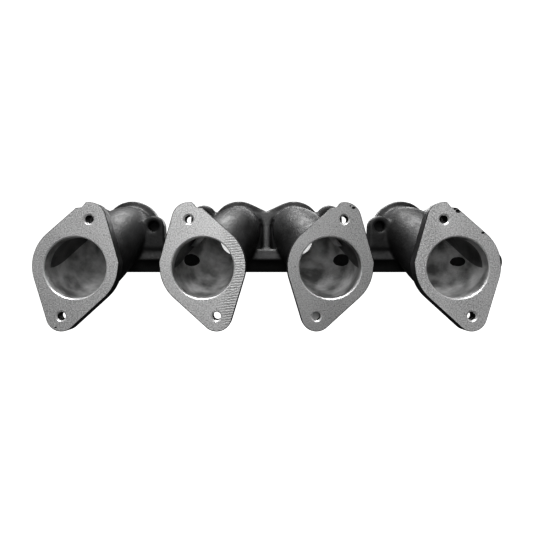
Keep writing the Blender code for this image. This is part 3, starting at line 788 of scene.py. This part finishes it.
def mix_colours(nodes, links, factor, first, second):
    """Blends two colours, each one a tuple or another node's output."""
    mix = nodes.new("ShaderNodeMix")
    mix.data_type = "RGBA"
    for socket, colour in ((MIX_FIRST, first), (MIX_SECOND, second)):
        if isinstance(colour, tuple):
            mix.inputs[socket].default_value = (*colour, 1)
        else:
            links.new(colour, mix.inputs[socket])
    links.new(factor, mix.inputs[MIX_FACTOR])
    return mix.outputs[MIX_COLOUR]


def multiply(nodes, links, first, second):
    product = nodes.new("ShaderNodeMath")
    product.operation = "MULTIPLY"
    links.new(first, product.inputs[0])
    links.new(second, product.inputs[1])
    return product.outputs[0]


def bump(nodes, links, height, distance, under=None):
    """Relief of a real height in metres, on top of another relief where there is one."""
    relief = nodes.new("ShaderNodeBump")
    relief.inputs["Distance"].default_value = distance
    relief.inputs["Strength"].default_value = 1.0
    links.new(height, relief.inputs["Height"])
    if under is not None:
        links.new(under, relief.inputs["Normal"])
    return relief.outputs["Normal"]


# %% Cast skins
CLOUDS, PATCHES, PEBBLES, FINE_PEBBLES = 28, 160, 420, 1500     # grains in a metre
CAST_SHINE = 0.26            # satin paint over sand-cast iron throws back little light


def cast_skin(name, dark, light, roughness, grit):
    """Pebbly skin between two colours; grit is the height of its pebbles."""
    material, nodes, links, shader = new_material(name, dark, roughness)
    clouds = blend_range(nodes, links, noise(nodes, links, CLOUDS, 3), 0.38, 0.66, 0, 1)
    links.new(mix_colours(nodes, links, clouds, dark, light), shader.inputs["Base Color"])
    patches = noise(nodes, links, PATCHES, 5)
    links.new(blend_range(nodes, links, patches, 0.3, 0.7, roughness - 0.1, roughness + 0.12),
              shader.inputs["Roughness"])
    pebbles = bump(nodes, links, noise(nodes, links, PEBBLES, 3), grit)
    fine = bump(nodes, links, noise(nodes, links, FINE_PEBBLES, 2), grit * 0.45, under=pebbles)
    links.new(fine, shader.inputs["Normal"])
    shader.inputs["Specular IOR Level"].default_value = CAST_SHINE
    return material


CAST_BLACK = cast_skin("cast_black_paint", (0.009, 0.009, 0.009), (0.027, 0.027, 0.0275), 0.5, 0.24 * MM)
# painted shade: a rough, near-black iron for the walls of holes and pockets, standing in for the shade
# inside them
HOLE_SHADE = cast_skin("hole_soot", (0.010, 0.010, 0.010), (0.035, 0.035, 0.035), 0.8, 0.1 * MM)
print("cast skins", CAST_BLACK.name, HOLE_SHADE.name)

# %% [markdown]
# ## Bare iron, with painted shade
# Inside, the iron is bare and lighter.  Above the core's parting line the wall gets painted shade,
# strongest on the outer side.  The shade thins out towards the inner side, so its strength follows the
# distance from the outlet's middle.  Below the parting line the wall is only a little darker on the outer
# side.

# %% Passage skins
DARKENING_INNER, DARKENING_OUTER = 12 * MM, 10 * MM     # from the outlet's middle: where the darkening begins, and is full
# how far the wall is darkened: a little below the core's parting line, and strongly above it as painted
# shade
LOWER_DARKENING, UPPER_SHADE = 0.25, 0.85


def passage_skin(name, number, darkening):
    """Patchy bare iron; darkening (0 to 1) darkens it on the outer side of its own passage, which on the
    upper wall is painted shade.
    """
    material, nodes, links, shader = new_material(name, (0.3, 0.3, 0.3), 0.5)
    patches = blend_range(nodes, links, noise(nodes, links, 55, 4), 0.36, 0.64, 0, 1)
    bare = mix_colours(nodes, links, patches, (0.22, 0.22, 0.22), (0.80, 0.80, 0.80))
    split = nodes.new("ShaderNodeSeparateXYZ")
    links.new(nodes.new("ShaderNodeTexCoord").outputs["Object"], split.inputs["Vector"])
    outwards = -1 if number < 2 else 1
    middle = OUTLETS[number][0]
    outer_darkening = blend_range(nodes, links, split.outputs["X"], middle - outwards * DARKENING_INNER,
                        middle + outwards * DARKENING_OUTER, 0, darkening)
    # the darkening mixes the wall towards near-black, which is painted shade on the upper wall
    links.new(mix_colours(nodes, links, outer_darkening, bare, (0.03, 0.03, 0.03)), shader.inputs["Base Color"])
    grit = bump(nodes, links, noise(nodes, links, PEBBLES, 3), 0.25 * MM)
    fine = bump(nodes, links, noise(nodes, links, FINE_PEBBLES, 2), 0.1 * MM, under=grit)
    links.new(fine, shader.inputs["Normal"])
    return material


BARE_PASSAGE = [passage_skin(f"bare_passage_{n + 1}", n, LOWER_DARKENING) for n in range(4)]
# the upper wall of each passage, with painted shade
SHADED_PASSAGE = [passage_skin(f"painted_shade_passage_{n + 1}", n, UPPER_SHADE) for n in range(4)]
print(len(BARE_PASSAGE) + len(SHADED_PASSAGE), "passage skins")

# %% [markdown]
# ## Milled iron
# A milling cutter leaves a flat, bright face with a fine grain of tool marks.  Where the cutter shook it
# left short ripples, called chatter, in a band down one side.  The ripples are a wave that only counts
# inside that band; the rest is grain and a few darker specks, which are pores in the iron.

# %% Chatter
RIPPLES = 150                # the wave's scale; a higher number puts the ripples closer together


def grey(level):
    return (level, level, level)


def chatter(nodes, links, grain_angle, wobble, chatter_from, chatter_to):
    """Cutter ripples and how strong they are: nothing at one x place, full at the other."""
    where = nodes.new("ShaderNodeTexCoord")
    turned_to = nodes.new("ShaderNodeMapping")
    turned_to.inputs["Rotation"].default_value = (0, grain_angle, 0)
    links.new(where.outputs["Object"], turned_to.inputs["Vector"])
    ripples = nodes.new("ShaderNodeTexWave")
    ripples.bands_direction = "Z"
    ripples.inputs["Scale"].default_value = RIPPLES
    ripples.inputs["Distortion"].default_value = wobble
    ripples.inputs["Detail"].default_value = 2
    ripples.inputs["Detail Scale"].default_value = 3.0
    links.new(turned_to.outputs["Vector"], ripples.inputs["Vector"])
    split = nodes.new("ShaderNodeSeparateXYZ")
    links.new(where.outputs["Object"], split.inputs["Vector"])
    band = blend_range(nodes, links, split.outputs["X"], chatter_from, chatter_to, 0, 1)
    return ripples.outputs["Fac"], band


# %% Milled faces
def milled_iron(name, level, grain_angle=0.0, chatter_from=None, chatter_to=None, wobble=4):
    """Milled grey iron of one brightness; the chatter band lies between two x places."""
    material, nodes, links, shader = new_material(name, grey(level), 0.42, 0.55)
    clouds = blend_range(nodes, links, noise(nodes, links, 45, 4), 0.35, 0.65, 0, 1)
    grain = noise(nodes, links, 1000, 2)
    tone = mix_colours(nodes, links, clouds, grey(level * 0.74), grey(level * 0.95))
    specks = blend_range(nodes, links, grain, 0.36, 0.66, 0, 0.95)
    speckled = mix_colours(nodes, links, specks, tone, grey(min(0.9, level * 1.6)))
    pores = blend_range(nodes, links, noise(nodes, links, 620, 2), 0.66, 0.73, 0, 0.7)
    colour = mix_colours(nodes, links, pores, speckled, grey(level * 0.3))
    links.new(blend_range(nodes, links, grain, 0.3, 0.7, 0.36, 0.52), shader.inputs["Roughness"])
    relief = bump(nodes, links, grain, 0.12 * MM)
    if chatter_from is not None:
        ripples, band = chatter(nodes, links, grain_angle, wobble, chatter_from, chatter_to)
        relief = bump(nodes, links, multiply(nodes, links, ripples, band), 0.1 * MM, under=relief)
        # painted shade: the valleys of the chatter ripples are darkened
        valley_shade = multiply(nodes, links, blend_range(nodes, links, ripples, 0.1, 0.6, 0.55, 0), band)
        colour = mix_colours(nodes, links, valley_shade, colour, grey(level * 0.45))
    links.new(colour, shader.inputs["Base Color"])
    links.new(relief, shader.inputs["Normal"])
    return material


CHATTER_START, CHATTER_FULL = 13 * MM, 20 * MM      # from the bore's middle towards x = 0
# painted light and shade: the same milled iron is made brighter or darker on each face, to stand in for how
# the light falls on it
MILLED = [
    milled_iron("milled_iron_1", 0.50),
    milled_iron("milled_iron_2", 0.46, 0.1, OUTLETS[1][0] + CHATTER_START, OUTLETS[1][0] + CHATTER_FULL),
    milled_iron("milled_iron_3", 0.28),
    milled_iron("milled_iron_4", 0.60, -0.6, OUTLETS[3][0] - CHATTER_START, OUTLETS[3][0] - CHATTER_FULL,
                wobble=11),
]
# painted highlight: the chamfers get a much brighter iron than the faces, for the highlight they catch
CHAMFER_HIGHLIGHT = milled_iron("painted_highlight_chamfer", 0.85)
print("milled faces", [m.name for m in MILLED])

# %% [markdown]
# ## The plug
# A screwed plug closes the small boss on the last runner.  The design's own plug has the right shape,
# so it stays and only gets the finish of turned steel: the same grain, much finer, on a metal.

# %% Plug finish
TURNED_STEEL = cast_skin("plug_steel_finish", (0.10, 0.10, 0.105), (0.16, 0.16, 0.165), 0.34, 0.05 * MM)
TURNED_STEEL.node_tree.nodes["Principled BSDF"].inputs["Metallic"].default_value = 0.9
frame["nodes"]["boss_plug"].material_slots[0].material = TURNED_STEEL
print("plug", TURNED_STEEL.name)

# %% [markdown]
# ## Which face gets which finish
# One piece can show several finishes: an outlet flange is milled in front and black at its sides, and a
# runner is black outside and bare inside.  Each face's place and direction tell which it is.

# %% Places along a passage
LINE_STEPS = 24
LINES = [[line_point(n, i / LINE_STEPS) for i in range(LINE_STEPS + 1)] for n in range(4)]


def from_passage(point, number):
    """How far a point is outside a runner's passage, how high above its middle line, and which way."""
    step = min(range(LINE_STEPS + 1), key=lambda i: (point - LINES[number][i][0]).length)
    middle, heading = LINES[number][step]
    along = (point - middle).dot(heading)
    nearest = middle + heading * along
    away = point - nearest
    side, rise = around(number, heading)
    return away.length - passage_radius(step / LINE_STEPS), away.dot(rise), away.normalized()


# %% Faces of runners, plates and the head
CLOSE = 0.1 * MM             # slack for a face's middle, which lies a little inside a curved wall
WALL_SLACK = 0.3 * MM
OUTER_SKIN = POCKET_DEPTH + WALL_SLACK     # farther from a passage than this is the outer skin
POCKET_FLOOR = CORE_MISMATCH + 0.5 * MM     # farther out than the step of the core there is only a pocket
POCKET_RIM = 0.15 * MM       # beyond this, a face that doesn't look inwards is a pocket's side
COLUMN_SIDE = -0.5 * MM      # this far inside a passage there is only a column
CHAMFER_BACK = 2 * MM        # chamfers end within this depth
DENT_REACH = 2.4 * MM        # a dent's faces lie within this of its middle


def runner_face(number):
    """0 black skin, 1 bare passage, 2 passage with painted shade above the core's parting line, 3 pocket
    with painted shade.
    """
    def kind(centre, normal):
        outside, above, away = from_passage(centre, number)
        if outside > OUTER_SKIN:
            return 0
        # a pocket's faces get painted shade
        if outside > POCKET_FLOOR or outside > POCKET_RIM and normal.dot(away) > -0.7:
            return 3
        return 2 if above > 0 and outside > COLUMN_SIDE else 1
    return kind


def plate_face(number):
    """0 milled face, 1 black side, 2 bare bore, 3 chamfer with a painted highlight, 4 bolt hole with
    painted shade.
    """
    x0, z0 = OUTLETS[number]
    bolts = [place(f"bolt_hole_{number + 1}_{end}") for end in ("top", "low")]
    dents = [(x0 + x * MM, z0 + z * MM) for x, z, width in DENTS.get(number, ())]

    def kind(centre, normal):
        spot = (centre.x, centre.z)
        from_bore = math.dist(spot, OUTLETS[number]) - BORE_RADIUS
        from_bolt = min(math.dist(spot, bolt) for bolt in bolts) - BOLT_RADIUS
        by_mouth = from_bore < BORE_CHAMFER or from_bolt < HOLE_CHAMFER
        if centre.y < FACE + 0.01 * MM:
            return 0
        if any(math.dist(spot, dent) < DENT_REACH for dent in dents):
            return 1
        # chamfers at the mouths of the bore and bolt holes get the painted highlight
        if by_mouth and centre.y < FACE + CHAMFER_BACK and normal.y < -0.3:
            return 3
        # the bolt hole's wall gets painted shade
        if from_bolt < CLOSE and normal.y > -0.5:
            return 4
        return 2 if from_bore < WALL_SLACK or from_bolt < CLOSE else 1
    return kind


def drilled_face(opening):
    """0 black skin, 1 painted shade in a drilled hole."""
    middle = place(opening)

    def kind(centre, normal):
        return 1 if math.dist((centre.x, centre.z), middle) < STUD_RADIUS + CLOSE else 0
    return kind


def head_face(centre, normal):
    """0 black skin, 1 milled face, 2 bare ports."""
    if centre.y > HEAD_FACE - CLOSE:
        return 1
    near_port = min(math.dist((centre.x, centre.z), port) for port in PORTS)
    return 2 if near_port < PORT_RADIUS + WALL_SLACK else 0


# %% Dress the pieces
SHARP = math.radians(35)     # edges steeper than this stay crisp


def dress(piece, materials, kind=None):
    """Gives a piece its finishes; kind tells which of them a face has."""
    piece.data.materials.clear()
    for material in materials:
        piece.data.materials.append(material)
    for face in piece.data.polygons:
        face.material_index = kind(face.center, face.normal) if kind else 0
    piece.data.shade_smooth()
    piece.data.set_sharp_from_angle(angle=SHARP)


for name, piece in PIECES.items():
    if name.startswith("outlet_flange"):
        n = int(name[-1]) - 1
        dress(piece, [MILLED[n], CAST_BLACK, BARE_PASSAGE[n], CHAMFER_HIGHLIGHT, HOLE_SHADE], plate_face(n))
    elif name.startswith("runner"):
        n = int(name[-1]) - 1
        dress(piece, [CAST_BLACK, BARE_PASSAGE[n], SHADED_PASSAGE[n], HOLE_SHADE], runner_face(n))
    elif name == "head_flange":
        dress(piece, [CAST_BLACK, MILLED[0], BARE_PASSAGE[1]], head_face)
    elif name.startswith(("bracket_lug", "stud_boss")):
        hole = name.replace("bracket_lug", "lug_hole").replace("stud_boss", "stud_hole")
        dress(piece, [CAST_BLACK, HOLE_SHADE], drilled_face(hole))
    else:
        dress(piece, [CAST_BLACK])
print("finishes", [m.name for m in bpy.data.materials if m.users])

# %% [markdown]
# ## Joining the frame
# Nothing on a manifold moves, so every piece rides on the one body.  A runner also stands for the roots
# at its two ends, which the casting melted into it.

# %% Ride and replace
for name, piece in PIECES.items():
    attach(piece, "root")
    roots = [f"outlet_collar_{name[-1]}", f"port_collar_{name[-1]}"] if name.startswith("runner_") else []
    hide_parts(name, *roots)
print(len(PIECES), "pieces ride on the root body")

# %% [markdown]
# ## A plain stage
# The part is shown on plain white.  The floor lies well below it and glows a little, so that it catches
# no hard shadow, and its glow is kept off the iron.

# %% Floor
FLOOR_DROP = 0.25
FLOOR_HALF, FLOOR_THICKNESS = 5, 0.02
floor_top = cad_box[0][2] - FLOOR_DROP
floor = box("floor", (-FLOOR_HALF, -FLOOR_HALF, floor_top - FLOOR_THICKNESS),
            (FLOOR_HALF, FLOOR_HALF, floor_top))
floor_white, _, _, floor_shader = new_material("pale_floor", (0.9, 0.9, 0.9), 0.8)
floor_shader.inputs["Emission Color"].default_value = (1, 1, 1, 1)
floor_shader.inputs["Emission Strength"].default_value = 1.0
floor.data.materials.append(floor_white)
floor.visible_diffuse = False
floor.visible_glossy = False
print("floor at", floor_top)

# %% [markdown]
# ## Soft lights
# A big soft light overhead gives the tops of the castings their sheen and leaves their undersides dark.
# One in front, up and to the left, lights the milled faces and reaches into the bores, and a weak one,
# level and straight in front, fills the bores' shadows.  One behind lights the head face.

# %% Lights
LIGHT_AIM = (0, -40 * MM, -20 * MM)


def soft_light(name, where, size, energy):
    """A square area light that faces the part."""
    lamp = bpy.data.objects.new(name, bpy.data.lights.new(name, "AREA"))
    lamp.data.size = size
    lamp.data.energy = energy
    lamp.location = where
    lamp.rotation_euler = (Vector(LIGHT_AIM) - Vector(where)).to_track_quat("-Z", "Y").to_euler()
    bpy.context.scene.collection.objects.link(lamp)


soft_light("overhead", (-0.05, 0.0, 0.8), 0.6, 20)
soft_light("front_top", (-0.12, -0.95, 0.7), 0.5, 6)
soft_light("behind", (0.3, 1.2, 0.5), 0.6, 6)
soft_light("front_fill", (0.0, -1.2, 0.1), 0.4, 1.8)
print("lights", [lamp.name for lamp in bpy.data.lights])

# %% [markdown]
# ## A white room
# Behind the part the camera sees pure white.  If all that white also lit the iron, the black paint would
# turn grey, so every other ray feels a much dimmer room.  A contrast look deepens the blacks.

# %% White room
FELT_WHITE = 0.05
world = bpy.data.worlds.new("white_room")
bpy.context.scene.world = world
world.use_nodes = True
room_nodes, room_links = world.node_tree.nodes, world.node_tree.links
seen = room_nodes["Background"]
seen.inputs["Color"].default_value = (1, 1, 1, 1)
seen.inputs["Strength"].default_value = 1.0
felt = room_nodes.new("ShaderNodeBackground")
felt.inputs["Color"].default_value = (1, 1, 1, 1)
felt.inputs["Strength"].default_value = FELT_WHITE
rays = room_nodes.new("ShaderNodeLightPath")
choose = room_nodes.new("ShaderNodeMixShader")
room_links.new(rays.outputs["Is Camera Ray"], choose.inputs[0])
room_links.new(felt.outputs[0], choose.inputs[1])
room_links.new(seen.outputs[0], choose.inputs[2])
room_links.new(choose.outputs[0], room_nodes["World Output"].inputs["Surface"])
bpy.context.scene.view_settings.view_transform = "Standard"
bpy.context.scene.view_settings.look = "Medium High Contrast"
print("world", world.name)
